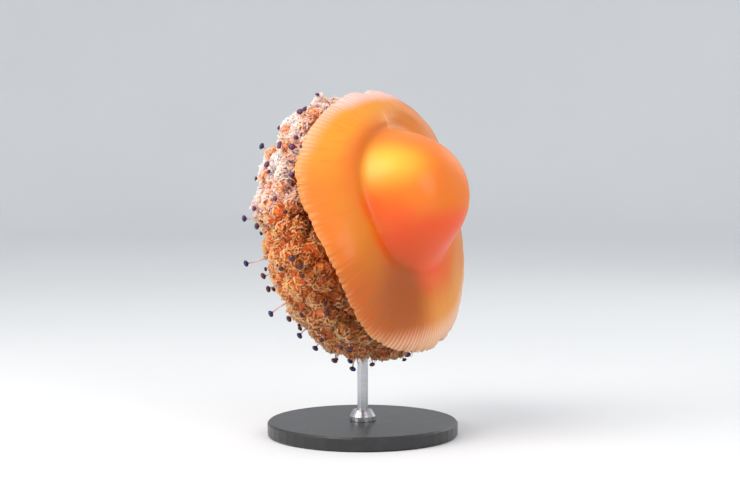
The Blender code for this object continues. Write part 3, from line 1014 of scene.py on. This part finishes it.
def arm_paint(finish, arms, crown, tip, tone):
    """The arms' colours, which their skin and the frills that grow on it share."""
    place = finish.place()
    up, _, crownward = finish.parts(place)
    broad = finish.noise(place, 34.0, 1.5)
    patch = finish.noise(place, 62.0, 1.5)
    fine = finish.noise(place, 240.0, 1.5)
    behind = crownward.step(-0.055, -0.085)
    height = up + (0.050 + 0.11 * behind) * (broad - 0.5) + 0.040 * (patch - 0.5)
    low = height.step(-0.030, -0.075)
    rimward = crownward.step(-0.038, -0.014)
    high = height.step(0.010, 0.046) * (1.0 - 0.6 * rimward)
    gap = patch.step(0.50, 0.57)
    # The upper side is paler and the lower side browner, partly the arms' own colours and partly
    # painted light from above and painted shade below.
    base = finish.layers(
        arms.amber,
        (arms.rust, patch.step(0.42, 0.58) * (1.0 - 0.7 * rimward)),
        (arms.clay, (0.85 * low).greater(0.5 * behind)),
        (arms.olive, low * 0.7 * broad.step(0.50, 0.62)),
        (finish.mix(arms.rose, arms.coral, 0.90 * gap), high),
        (arms.olive, 0.8 * rimward * up.near(0.006, 0.022) * patch.step(0.56, 0.46)),
        (arms.maroon, rimward * 0.12 * fine.step(0.45, 0.60)),
        # painted shade: maroon darkens the crevices between the lobes
        (arms.maroon, crown.step(0.30, 0.0) * (0.26 - 0.16 * high)),
    )
    # Paler lips, far paler on the upper side, where they are partly painted light from above.
    blush = finish.mix(base, arms.rose, 0.05 + 0.40 * high * (1.0 - 0.8 * gap))
    base = finish.mix(base, blush, crown.step(0.1, 0.8) * tip ** 2.0)
    # Brightness: a little random tone, with painted light that lifts the shade beside the bell's rim
    # and brightens the upper side.
    shade = 0.85 + 0.08 * tone + 0.32 * rimward * (1.0 - 0.5 * low) + 0.10 * high
    return finish.node("VectorMath", {"operation": "SCALE"}, {0: base, "Scale": shade}, "Vector")


def bell_paint(finish, bell):
    """The bell's colours, laid out by share of the rim's radius and by bearing."""
    turn, rho, _ = finish.parts(finish.node("UVMap", {"uv_map": "Lappets"}, {}))
    angle = turn * math.tau
    place = finish.place()
    ray = finish.vector(angle.cosine(), (angle - 0.5 * math.pi).cosine(), 0.10 * rho)
    streak = finish.noise(ray, 34.0, 3.0)
    cloud = finish.noise(place, 22.0, 2.0) - 0.5
    up = rho * angle.cosine() + 0.04 * cloud
    near = rho * (angle - 0.5 * math.pi).cosine() + 0.04 * cloud

    def spot(middle, reach):
        """1 at a middle (up, near) in shares of the rim's radius, falling to 0 a reach away."""
        off_up, off_near = (up - middle[0]) / reach[0], (near - middle[1]) / reach[1]
        return (off_up * off_up + off_near * off_near).root().step(1.0, 0.0)

    def toward(bearing, width):
        """1 at a bearing, falling to 0 so many degrees to either side of it."""
        return (angle - math.radians(bearing)).cosine().step(math.cos(math.radians(width)), 1.0)

    # The dome, with a painted highlight on its lit flank, and painted shade on its low side, in the
    # crescent round its foot and in the gutter on the disc.
    on_dome = rho.step(0.58, 0.50)
    dome_highlight = 0.90 * spot((0.24, 0.38), (0.28, 0.29)) * on_dome
    low_side_shade = 0.85 * up.step(-0.12, -0.30) * near.step(-0.70, -0.10) * rho.step(0.76, 0.52)
    off_line = 0.77 * near - 0.64 * up - 0.458
    along_line = 0.42 - 0.77 * up - 0.64 * near
    crescent_shade = (0.90 - 0.30 * near.step(0.30, 0.50)) * off_line.near(0.0, 0.17)
    crescent_shade = crescent_shade * along_line.step(-0.12, 0.10) * rho.step(0.74, 0.60)
    gutter_shade = rho.near(0.66, 0.14) * spot((0.45, 0.60), (0.75, 0.75))

    # The pale rim, which starts further in on some sides, and the shade under the dome.
    edge = 0.95 - 0.06 * toward(2.0, 32.0) + 0.05 * toward(108.0, 60.0) - 0.10 * toward(208.0, 70.0)
    edge = edge + 0.04 * toward(318.0, 40.0)
    pale = ((rho + 0.06 * (streak - 0.5)) - edge).step(-0.05, 0.07)
    veil = 0.85 - 0.40 * toward(108.0, 60.0) - 0.35 * toward(56.0, 42.0)
    shade = 0.58 * up.step(-0.12, -0.58) + 0.36 * spot((-0.62, 0.34), (0.42, 0.50)).step(0.0, 0.9)
    shade = shade * near.step(-0.12, 0.24) * (1.0 - 0.5 * on_dome) * (1.0 - 0.45 * pale)

    # The lines along the lappets, a painted highlight along the fold's crest, and the veins that run
    # out to the rim.
    lines = ((angle + math.pi / 8.0) * (1.5 * LAPPETS) + 5.0 * cloud).cosine() * 0.5 + 0.5
    fold = (near - 0.087 * up).near(0.0, 0.020) * up.step(0.40, 0.52) * up.step(0.80, 0.64)
    veins = streak.step(0.52, 0.66) * rho.step(0.50, 0.72) * (1.0 - 0.5 * pale)
    colours = finish.layers(
        bell.disc,
        (bell.dome, on_dome),
        # painted highlight on the dome's flank
        (bell.yolk, dome_highlight),
        # painted shade on the dome's low side and round its foot
        (bell.ember, low_side_shade.greater(crescent_shade)),
        (bell.yolk, 0.32 * toward(24.0, 52.0) * rho.step(0.62, 0.80)),
        (bell.ember, 0.20 * toward(98.0, 45.0) * rho.step(0.80, 0.95)),
        # painted shade on the disc's far upper side, beyond the fold
        (bell.umber, 0.16 * toward(322.0, 45.0) * rho.step(0.60, 0.75)),
        (bell.yolk, 0.28 * toward(205.0, 42.0) * rho.step(0.62, 0.80)),
        # painted shade in the gutter
        (bell.ember, 0.26 * gutter_shade),
        (finish.mix(bell.margin, bell.blush, toward(0.0, 70.0)), pale * veil),
        (bell.umber, shade),
        (bell.pleat, 0.54 * veil * (lines ** 2.0) * pale),
        # painted highlight along the fold's crest
        (bell.yolk, 0.55 * fold),
        (bell.ember, 0.16 * veins),
    )
    return colours, lines * rho.step(0.80, 0.95), streak, rho


def skin_finish(bell, arms):
    finish = jelly("jelly_flesh", 0.40, (0.012, 0.0050, 0.0022), IOR=1.38, Coat_Roughness=0.22)
    flesh, crown = finish.attributes("flesh", "crown")
    bell_colour, lines, streak, rho = bell_paint(finish, bell)
    arm_colour = arm_paint(finish, arms, crown, 0.0, 0.4)
    finish.feed("Base Color", finish.mix(bell_colour, arm_colour, flesh))
    grain = finish.noise(finish.place(), 900.0, 2.0)
    finish.feed("Roughness", 0.38 + 0.10 * grain + 0.15 * flesh)
    finish.feed("Coat Weight", 0.14 * (1.0 - flesh))
    height = 0.25 * lines + 0.35 * streak * rho.step(0.45, 0.70) + 0.10 * grain
    finish.bump(height, 0.0005)
    return finish.material


def frill_finish(arms):
    finish = jelly("arm_frills", 0.75, (0.014, 0.0065, 0.0030), IOR=1.38, Specular_IOR_Level=0.30)
    tip, tone, crown = finish.attributes("tip", "tone", "crown")
    finish.feed("Base Color", arm_paint(finish, arms, crown, tip, tone))
    grain = finish.noise(finish.place(), 700.0, 1.0)
    finish.feed("Roughness", 0.46 + 0.18 * grain)
    finish.bump(grain, 0.0003)
    return finish.material


def finger_finish(arms):
    finish = jelly("arm_fingers", 0.15, (0.004, 0.0015, 0.001), IOR=1.38)
    tip, tone = finish.attributes("tip", "tone")
    base = finish.mix(arms.maroon, arms.rust, tone.step(0.35, 1.0))
    finish.feed("Base Color", finish.mix(base, arms.clay, 0.5 * tip ** 3.0))
    grain = finish.noise(finish.place(), 800.0, 1.0)
    finish.feed("Roughness", 0.35 + 0.2 * grain)
    return finish.material


def disc_finish(discs):
    """Glassy stalks, and glossy ends that tone turns from navy at 0 to violet at 0.5 and wine at 1."""
    finish = jelly("stalked_discs", 0.12, (0.003, 0.0015, 0.002), IOR=1.40, Coat_Roughness=0.10)
    tip, tone, head = finish.attributes("tip", "tone", "crown")
    grain = finish.noise(finish.place(), 900.0, 1.5)
    deep = finish.layers(
        discs.navy,
        (discs.violet, tone.step(0.0, 0.5)),
        (discs.wine, tone.step(0.5, 1.0)),
        (discs.violet, 0.35 * grain.step(0.5, 0.7)),
    )
    on_head = (tip - head).step(-0.02, 0.02)
    finish.feed("Base Color", finish.mix(discs.glassy, deep, on_head))
    finish.feed("Roughness", 0.24 + 0.2 * grain)
    finish.feed("Coat Weight", 0.4 * on_head)
    finish.bump(grain, 0.0002)
    return finish.material


def lacquer_finish(stand):
    finish = Finish("satin_lacquer", Coat_Weight=0.25, Coat_Roughness=0.20)
    place = finish.place(turned=False)
    orange_peel = finish.noise(place, 900.0, 2.0)
    dust = finish.noise(place, 60.0, 3.0)
    finish.feed("Base Color", finish.mix(stand.lacquer, stand.worn, 0.5 * dust.step(0.52, 0.70)))
    finish.feed("Roughness", 0.34 + 0.10 * dust + 0.06 * orange_peel)
    finish.bump(orange_peel, 0.00012)
    return finish.material


def steel_finish(stand):
    finish = Finish("brushed_steel", Metallic=1.0)
    x, y, z = finish.parts(finish.place(turned=False))
    brushed = finish.noise(finish.vector(x * 20.0, y * 20.0, z * 2600.0), 1.0, 3.0)
    finish.feed("Base Color", finish.mix(stand.steel, stand.brushed, 0.6 * brushed.step(0.4, 0.65)))
    finish.feed("Roughness", 0.20 + 0.22 * brushed)
    finish.bump(brushed, 0.00006)
    return finish.material


def floor_finish(studio):
    finish = Finish("studio_floor", Roughness=0.75)
    mottle = finish.noise(finish.place(turned=False), 3.0, 2.0)
    light = tuple(min(1.0, value * 1.04) for value in studio.floor)
    finish.feed("Base Color", finish.mix(studio.floor, light, mottle))
    return finish.material


# ---------------------------------------------------------------- operators

class JELLYFISH_OT_skin(bpy.types.Operator):
    """Build the one skin of the bell, neck and arms in place of the flesh nodes"""
    bl_idname = "jellyfish.skin"
    bl_label = "Skin"

    def execute(self, context):
        bell, arms = context.scene.jellyfish_bell, context.scene.jellyfish_arms
        mesh = skin_mesh(bell, ArmMass(arms))
        skin = add_object("jelly_skin", mesh, skin_finish(bell, arms), "bell_disc")
        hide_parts(*FLESH_NODES)
        return {"FINISHED"}


class JELLYFISH_OT_frills(bpy.types.Operator):
    """Cover the arm mass with ruffled frills that fan out from the middle of each knob"""
    bl_idname = "jellyfish.frills"
    bl_label = "Frills"

    def execute(self, context):
        arms = context.scene.jellyfish_arms
        rng = np.random.default_rng(7)
        turn, slope = lattice(arms.frills, rng, 0.30)
        stretch = np.hypot(ARM_REACH * np.sin(slope), ARM_DEPTH * np.cos(slope)) / ARM_REACH
        kept = (np.degrees(slope) < FRILL_TOP_SLOPE) & (rng.random(len(turn)) < stretch + 0.15)
        turn, slope = keep(kept, turn, slope)
        places, middles, crowns = ArmMass(arms)(turn, slope)
        clear = off_rod(places, FRILL_CLEAR)
        turn, slope, places, middles, crowns = keep(clear, turn, slope, places, middles, crowns)
        outward = arm_outward(turn, slope)
        away = arm_surface(turn, slope) - middles
        away -= outward * (away * outward).sum(axis=1, keepdims=True)
        lean = away / KNOB_RADIUS + rng.normal(0.0, 0.20, places.shape)
        reach = np.linalg.norm(lean, axis=1, keepdims=True)
        lean *= np.minimum(1.0, MOST_LEAN / np.maximum(reach, 1e-6))
        across = np.cross(outward, away + 0.0008 * rng.normal(size=places.shape))
        size = (0.72 + 0.42 * rng.random(len(places))) * (0.62 + 0.38 * crowns)
        turns = frames_about(outward + lean, across) * size[:, None, None]
        middle, width, longer = RIM_FRILLS
        turns[:, :, 2] *= (1.0 + longer * hump(np.degrees(slope) - middle, width))[:, None]
        places = places - outward * FRILL_ROOT
        shapes = [frill_shape(arms, rng) for _ in range(FRILL_KINDS)]
        kinds = rng.integers(0, len(shapes), len(places))
        tones = rng.random(len(places))
        charts = on_chart("small pieces", arm_chart_reach(slope), turn)
        pieces = math.ceil(len(places) * max(shape.triangles for shape in shapes) / MOST_TRIANGLES)
        finish = frill_finish(arms)
        for piece in range(pieces):
            part = slice(piece, None, pieces)
            name = f"arm_frills_{piece + 1}"
            mesh = copies_mesh(name, shapes, *keep(part, kinds, turns, places, charts, tones, crowns))
            add_object(name, mesh, finish, "mouth_arms")
        return {"FINISHED"}


class JELLYFISH_OT_fingers(bpy.types.Operator):
    """Grow small dark fingers among the frills beside the bell's rim, most of them on the lower side"""
    bl_idname = "jellyfish.fingers"
    bl_label = "Fingers"

    def execute(self, context):
        arms = context.scene.jellyfish_arms
        rng = np.random.default_rng(19)
        turn = rng.uniform(-math.pi, math.pi, arms.fingers)
        middle, spread, least, most = FINGER_SLOPES
        slope = np.radians(rng.normal(middle, spread, arms.fingers).clip(least, most))
        places = arm_surface(turn, slope, FINGER_ROOT)
        kept = (places[:, 0] < THINNED_ABOVE) | (rng.random(len(turn)) < THINNED_TO)
        turn, slope, places = keep(kept, turn, slope, places)
        outward = arm_outward(turn, slope)
        crownward = np.broadcast_to((0.0, 0.0, 1.0), outward.shape)
        up = 0.40 * outward + 0.60 * crownward + rng.normal(0.0, 0.45, outward.shape)
        turns = frames_about(up, rng.normal(size=outward.shape))
        turns = turns * rng.uniform(0.42, 0.72, len(turn))[:, None, None]
        shapes = [finger_shape(rng) for _ in range(FINGER_KINDS)]
        kinds = rng.integers(0, len(shapes), len(turn))
        charts = on_chart("small pieces", arm_chart_reach(slope), turn)
        mesh = copies_mesh("arm_fingers", shapes, kinds, turns, places, charts,
                           rng.random(len(turn)), np.ones(len(turn)))
        add_object("arm_fingers", mesh, finger_finish(arms), "mouth_arms")
        return {"FINISHED"}


class JELLYFISH_OT_discs(bpy.types.Operator):
    """Stand the long and the short stalked discs on the arms"""
    bl_idname = "jellyfish.discs"
    bl_label = "Stalked Discs"

    def execute(self, context):
        discs, arms = context.scene.jellyfish_discs, context.scene.jellyfish_arms
        rng = np.random.default_rng(5)
        rows = [(math.radians(ARM_TURN + ARM_STEP * (arm - 1) + off), math.radians(slope), reach, 1.0)
                for arm, clubs in sorted(CLUBS.items()) for off, slope, reach in clubs]
        turn, slope = lattice(discs.small, rng, 0.8)
        wide = rng.uniform(*SMALL_DISCS, len(turn))
        reach = discs.height * wide + rng.uniform(*SMALL_STALKS, len(turn))
        rows += [row for row in zip(turn, slope, reach, wide)
                 if math.degrees(row[1]) < SMALL_TOP_SLOPE]
        turn, slope, reach, size = np.array(rows).T
        places = arm_surface(turn, slope)
        clear = off_rod(places, DISC_CLEAR)
        turn, slope, reach, size, places = keep(clear, turn, slope, reach, size, places)
        rooted = arms.depth + DISC_ROOT
        shapes = [disc_shape(discs.radius * wide, discs.height * wide, discs.stalk * max(wide, 0.8),
                             out, rooted) for out, wide in zip(reach, size)]
        short = np.where(places[:, 0] > VIOLET_ABOVE, 0.5, 1.0)
        tones = np.where(reach > LONG_STALK, 0.05, short) + rng.uniform(-0.05, 0.05, len(turn))
        heads = 1.0 - discs.height * size / (reach + rooted) - 0.02
        turns = frames_about(arm_outward(turn, slope), rng.normal(size=places.shape))
        charts = on_chart("small pieces", arm_chart_reach(slope), turn)
        mesh = copies_mesh("stalked_discs", shapes, np.arange(len(turn)), turns, places, charts,
                           tones, heads)
        add_object("stalked_discs", mesh, disc_finish(discs), "mouth_arms")
        return {"FINISHED"}


class JELLYFISH_OT_stand(bpy.types.Operator):
    """Lacquer the stand's base and give its rod and collar brushed steel"""
    bl_idname = "jellyfish.stand"
    bl_label = "Stand"

    def execute(self, context):
        stand = context.scene.jellyfish_stand
        lacquer, steel = lacquer_finish(stand), steel_finish(stand)
        for name in STAND_NODES:
            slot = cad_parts[name].material_slots[0]
            slot.material = lacquer if name == "stand_base" else steel
        return {"FINISHED"}


class JELLYFISH_OT_stage(bpy.types.Operator):
    """Set the floor and sweep, the lights, the world and the camera"""
    bl_idname = "jellyfish.stage"
    bl_label = "Studio"

    def execute(self, context):
        studio = context.scene.jellyfish_studio
        self.sweep(studio)
        self.camera(context.scene, studio)
        self.lights(context.scene, studio)
        return {"FINISHED"}

    def sweep(self, studio):
        edge, bend = studio.floor_radius, SWEEP_BEND
        section = [(0.0, 0.0), (edge, 0.0)]
        section += [(edge + bend * math.sin(turn), bend * (1.0 - math.cos(turn)))
                    for turn in np.radians(np.arange(10.0, 91.0, 10.0))]
        section.append((edge + bend, studio.sweep))
        bm = spun(section, 96)
        bmesh.ops.reverse_faces(bm, faces=[face for face in bm.faces if face.normal.z < -0.5
                                           or face.normal.dot(face.calc_center_median()) > 0.01])
        floor = add_object("studio_floor", mesh_of(bm, "studio_floor"), floor_finish(studio))

    def camera(self, scene, studio):
        data = bpy.data.cameras.new("camera")
        camera = bpy.data.objects.new("camera", data)
        scene.collection.objects.link(camera)
        right, above, back = view_axes(studio)
        target = Vector(RIM_MIDDLE) - right * FRAMING[0] - above * FRAMING[1]
        camera.location = target + back * studio.distance
        camera.rotation_euler = Matrix((right, above, back)).transposed().to_euler()
        data.sensor_width = SENSOR
        data.lens = SENSOR * studio.distance / VIEW_WIDTH
        data.clip_start, data.clip_end = 0.01, 20.0
        scene.camera = camera

    def lights(self, scene, studio):
        scene.world = bpy.data.worlds.new("studio")
        scene.world.use_nodes = True
        sky = scene.world.node_tree.nodes["Background"]
        sky.inputs["Color"].default_value = (0.97, 0.98, 1.0, 1.0)
        sky.inputs["Strength"].default_value = 0.80
        scene.view_settings.view_transform = "Standard"
        right, above, back = view_axes(studio)
        for name, way, size, watts, tint in (
            ("key", -0.62 * right + 1.05 * above + 0.62 * back, 0.9, studio.key, (1.0, 0.97, 0.92)),
            ("fill", 0.75 * right + 0.50 * above + 1.0 * back, 0.9, studio.fill, (0.94, 0.97, 1.0)),
            ("side", -1.0 * right + 0.35 * above + 0.45 * back, 0.8, studio.side, (1.0, 0.97, 0.94)),
            ("back", 0.9 * right + 0.7 * above - 0.9 * back, 0.8, studio.back, (1.0, 0.96, 0.90)),
        ):
            data = bpy.data.lights.new(name, "AREA")
            data.shape, data.size, data.energy, data.color = "DISK", size, watts, tint
            light = bpy.data.objects.new(name, data)
            scene.collection.objects.link(light)
            light.location = Vector(RIM_MIDDLE) + way.normalized() * LIGHT_DISTANCE
            light.rotation_euler = way.to_track_quat("Z", "Y").to_euler()


def view_axes(studio):
    """The camera's right, up and backward ways."""
    turn, rise = studio.azimuth, studio.elevation
    right = Vector((math.cos(turn), math.sin(turn), 0.0))
    back = Vector((math.sin(turn) * math.cos(rise), -math.cos(turn) * math.cos(rise), math.sin(rise)))
    return right, back.cross(right), back


class JELLYFISH_PT_panel(bpy.types.Panel):
    """The model's settings and the operators that build it"""
    bl_idname = "JELLYFISH_PT_panel"
    bl_label = "Fried Egg Jellyfish"
    bl_space_type = "VIEW_3D"
    bl_region_type = "UI"
    bl_category = "Jellyfish"

    def draw(self, context):
        for name, group in GROUPS.items():
            box = self.layout.box()
            for field in group.__annotations__:
                box.prop(getattr(context.scene, name), field)
        for operator in OPERATORS:
            self.layout.operator(operator.bl_idname)


OPERATORS = (
    JELLYFISH_OT_skin,
    JELLYFISH_OT_frills,
    JELLYFISH_OT_fingers,
    JELLYFISH_OT_discs,
    JELLYFISH_OT_stand,
    JELLYFISH_OT_stage,
)


def register():
    for kind in (*GROUPS.values(), *OPERATORS, JELLYFISH_PT_panel):
        bpy.utils.register_class(kind)
    for name, group in GROUPS.items():
        setattr(bpy.types.Scene, name, PointerProperty(type=group))


def unregister():
    for name in GROUPS:
        delattr(bpy.types.Scene, name)
    for kind in reversed((*GROUPS.values(), *OPERATORS, JELLYFISH_PT_panel)):
        bpy.utils.unregister_class(kind)


def main():
    register()
    bpy.ops.jellyfish.skin()
    bpy.ops.jellyfish.frills()
    bpy.ops.jellyfish.fingers()
    bpy.ops.jellyfish.discs()
    bpy.ops.jellyfish.stand()
    bpy.ops.jellyfish.stage()


if __name__ == "__main__":
    main()
